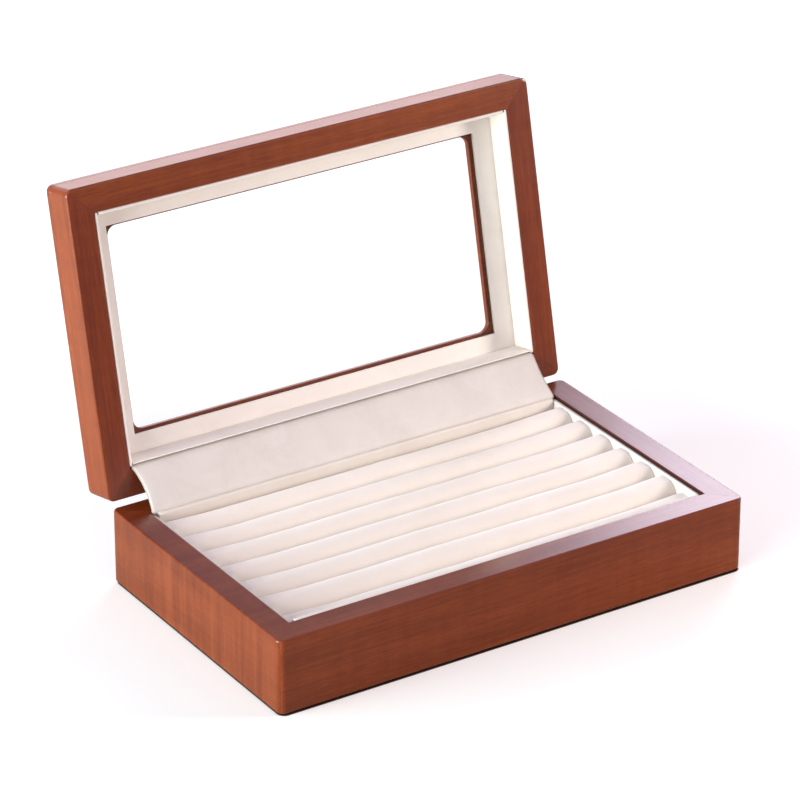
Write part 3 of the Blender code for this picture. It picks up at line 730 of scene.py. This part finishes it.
def flap_route():
    """(y, z) points of the open flap, from behind the base's liner to behind the lid's, and both edges."""
    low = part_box("hinge_flap")[0]
    tuck_y = low.y + FLAP_THICKNESS / 2
    base_edge = Vector((tuck_y, low.z + FLAP_TUCK))
    lid_edge = (TO_OPEN @ Vector((0, tuck_y, PIN.z))).yz
    lid_in = (TO_OPEN.to_3x3() @ Vector((0, 0, 1))).yz
    chord = lid_edge - base_edge
    outward = Vector((-chord.y, chord.x)).normalized()
    tucks = [FLAP_TUCK * step / FLAP_TUCK_STEPS for step in range(1, FLAP_TUCK_STEPS + 1)]
    base_tuck = [base_edge - Vector((0, tuck)) for tuck in reversed(tucks)]
    lid_tuck = [lid_edge + lid_in * tuck for tuck in tucks]
    points = []
    span_steps = FLAP_ROWS - 2 * FLAP_TUCK_STEPS
    for step in range(span_steps + 1):
        part = step / span_steps
        bulge = FLAP_BULGE * math.sin(math.pi * part) ** 0.9
        points.append(base_edge + chord * part + outward * bulge)
    return base_tuck + points + lid_tuck, base_edge, lid_edge


def smooth_route(points, rounds):
    """The same route with its bends eased. Its two ends stay."""
    for _ in range(rounds):
        inner = [(a + b * 2 + c) / 4 for a, b, c in zip(points, points[1:], points[2:])]
        points = [points[0]] + inner + [points[-1]]
    return points


def add_flap(material):
    """The soft strip that hides the hinges, from behind the base's liner to behind the lid's, built with
    the lid open.

    With the lid shut it isn't right: it loses length, and goes about 1 mm into both rims, out of sight.
    """
    route, base_edge, lid_edge = flap_route()
    route = smooth_route(route, 5)
    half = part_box("hinge_flap")[1].x - FLAP_SIDE_GAP
    bm = bmesh.new()
    rows = []
    for index, (y, z) in enumerate(route):
        part = index / (len(route) - 1)
        free_part = (part - FLAP_FREE_FROM) / (FLAP_FREE_TO - FLAP_FREE_FROM)
        free = math.sin(math.pi * free_part) if 0 < free_part < 1 else 0.0
        tangent = (route[min(index + 1, len(route) - 1)] - route[max(index - 1, 0)]).normalized()
        normal = Vector((-tangent.y, tangent.x))
        row = []
        for column in range(FLAP_COLUMNS + 1):
            x = half * (2 * column / FLAP_COLUMNS - 1)
            wave = noise.noise(Vector((x * 16, part * 2.2, 4.0))) * FLAP_WAVE
            ripple = noise.noise(Vector((x * 55, part * 5.0, 9.0))) * FLAP_RIPPLE
            edge = (1 - min(1.0, (half - abs(x)) / FLAP_EDGE_REACH)) ** 2
            lift = (wave + ripple - FLAP_EDGE_DROP * edge) * free
            pull = FLAP_WAIST * free * (x / half) ** 7
            place = Vector((y, z)) + normal * lift
            row.append(bm.verts.new((x - pull, place.x, place.y)))
        rows.append(row)
    for lower, upper in zip(rows, rows[1:]):
        for column in range(FLAP_COLUMNS):
            bm.faces.new((lower[column], lower[column + 1], upper[column + 1], upper[column]))
    flap = add_piece("flap_cover", bm, material)
    thickness = flap.modifiers.new("thickness", "SOLIDIFY")
    thickness.thickness = FLAP_THICKNESS
    thickness.offset = 0
    apply_modifiers(flap)
    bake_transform(flap)
    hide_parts("hinge_flap")


def apply_modifiers(obj):
    evaluated = obj.evaluated_get(bpy.context.evaluated_depsgraph_get())
    mesh = bpy.data.meshes.new_from_object(evaluated)
    obj.modifiers.clear()
    obj.data = mesh


# ---------------------------------------------------------------- studio


def aim(obj, target):
    obj.rotation_euler = (target - obj.location).to_track_quat("-Z", "Y").to_euler()


def add_camera():
    data = bpy.data.cameras.new("camera")
    data.lens = CAMERA_LENS
    camera = bpy.data.objects.new("camera", data)
    level = math.cos(CAMERA_ELEVATION)
    across, along = math.sin(CAMERA_AZIMUTH) * level, -math.cos(CAMERA_AZIMUTH) * level
    back = Vector((across, along, math.sin(CAMERA_ELEVATION)))
    camera.location = CAMERA_TARGET + back * CAMERA_DISTANCE
    aim(camera, CAMERA_TARGET)
    bpy.context.scene.collection.objects.link(camera)
    bpy.context.scene.camera = camera


def add_softbox(name, place, target, size, power, colour, spread):
    data = bpy.data.lights.new(name, "AREA")
    data.shape = "RECTANGLE"
    data.size, data.size_y = size
    data.energy = power
    data.color = colour
    data.spread = math.radians(spread)
    lamp = bpy.data.objects.new(name, data)
    lamp.location = place
    aim(lamp, Vector(target))
    bpy.context.scene.collection.objects.link(lamp)


def add_floor():
    bm = bmesh.new()
    bmesh.ops.create_grid(bm, x_segments=8, y_segments=8, size=6)
    paper = Recipe("studio_paper")
    mottle = paper.noise(paper.place, 3, detail=3)
    away = paper.add("ShaderNodeVectorMath", {0: paper.place}, operation="LENGTH").outputs["Value"]
    glow = paper.between(away, *FLOOR_GLOW_REACH, *FLOOR_GLOW)
    # The glow would light the crack under the walls, so the contact shadow is drawn here: lit is 0 in it.
    # The CAD box's front left corner is the base's, and the base is even about the middle.
    core = [-cad_box[0][axis] - CONTACT_INSET[axis] for axis in (0, 1)] + [1.0]
    past = paper.stretched(paper.place, (1, 1, 1), CONTACT_SHIFT)
    past = paper.add("ShaderNodeVectorMath", {0: past}, operation="ABSOLUTE").outputs[0]
    past = paper.add("ShaderNodeVectorMath", {0: past, 1: core}, operation="SUBTRACT").outputs[0]
    past = paper.add("ShaderNodeVectorMath", {0: past, 1: (0, 0, 0)}, operation="MAXIMUM").outputs[0]
    past = paper.add("ShaderNodeVectorMath", {0: past}, operation="LENGTH").outputs["Value"]
    lit = paper.between(past, *CONTACT_FADE)
    sheet = paper.ramp(mottle, [(0.3, (0.90, 0.90, 0.88)), (0.7, (0.93, 0.93, 0.91))])
    paper.shade(
        Base_Color=paper.mix(lit, CONTACT_COLOUR, sheet),
        Roughness=0.9,
        Specular_IOR_Level=0.0,
        Emission_Color=(1.0, 0.99, 0.93, 1),
        Emission_Strength=paper.math("MULTIPLY", glow, lit),
    )
    # The table bounces less light than it shows, as a small sheet of paper in a dark room would.
    dim = paper.add("ShaderNodeBsdfDiffuse", {"Color": (0.44, 0.42, 0.36, 1)}).outputs[0]
    seen = paper.add("ShaderNodeLightPath").outputs["Is Camera Ray"]
    both = paper.add("ShaderNodeMixShader", {0: seen, 1: dim, 2: paper.shader.outputs[0]}).outputs[0]
    paper.tree.links.new(both, paper.tree.nodes["Material Output"].inputs["Surface"])
    floor = add_piece("floor", bm, paper.material)


def add_studio():
    scene = bpy.context.scene
    scene.view_settings.view_transform = "Standard"
    world = bpy.data.worlds.new("studio")
    scene.world = world
    world.use_nodes = True
    background = world.node_tree.nodes["Background"]
    background.inputs["Color"].default_value = (*WORLD[0], 1)
    background.inputs["Strength"].default_value = WORLD[1]
    for light in LIGHTS:
        add_softbox(*light)
    add_floor()


add_camera()
dress_wood()
dress_fittings()
add_liner_covers()
dress("lid_mat_frame", suede("mat_suede", *LINING, shade_side_faces=True))
soften("lid_mat_frame", 0.00025)
roll_cloth = suede("roll_suede", *ROLLS, shade_front_slopes=True)
for roll_number in range(1, 8):
    add_roll(roll_number, roll_cloth)
add_flap(suede("flap_suede", *FLAP, nap_scale=2200, fuzz=0.2, shade_side_faces=True))
add_studio()
